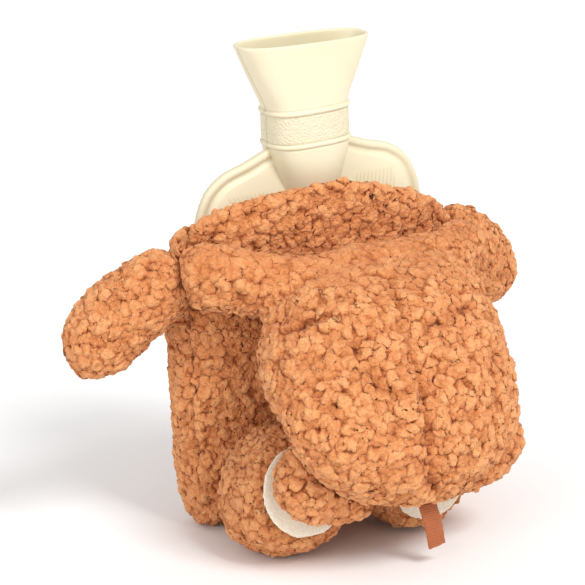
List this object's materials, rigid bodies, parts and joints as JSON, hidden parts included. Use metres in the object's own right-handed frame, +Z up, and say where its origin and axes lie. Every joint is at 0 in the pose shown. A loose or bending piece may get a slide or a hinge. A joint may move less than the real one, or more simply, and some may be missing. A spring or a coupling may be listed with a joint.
{
  "type": "hot water bottle in a plush animal cover",
  "caption": "Curly fleece animal cover on a rubber hot water bottle: a stuffed head flopped forward over soft feet, with stuffed arms and ears, and the bottle's open funnel above.",
  "frame": {"origin": "on the surface that it stands on, below the middle of the pouch", "axes": "+X to the side of its own right arm node, +Y from the head to the back, +Z up to the funnel"},
  "size_m": [0.288, 0.1622, 0.2646],
  "materials": {
    "plush": "curly sherpa pile",
    "fleece": "short smooth fleece",
    "rubber": "satin moulded",
    "ribbon": "ribbed weave"
  },
  "bodies": {
    "root": {"pouch_front": "plush", "pouch_back": "plush", "head": "plush", "ear_left": "plush", "ear_right": "plush", "arm_left": "plush", "arm_right": "plush", "foot_left": "plush", "foot_right": "plush", "sole_left": "fleece", "sole_right": "fleece", "ribbon_tab": "ribbon", "bottle": "rubber"}
  },
  "joints": []
}
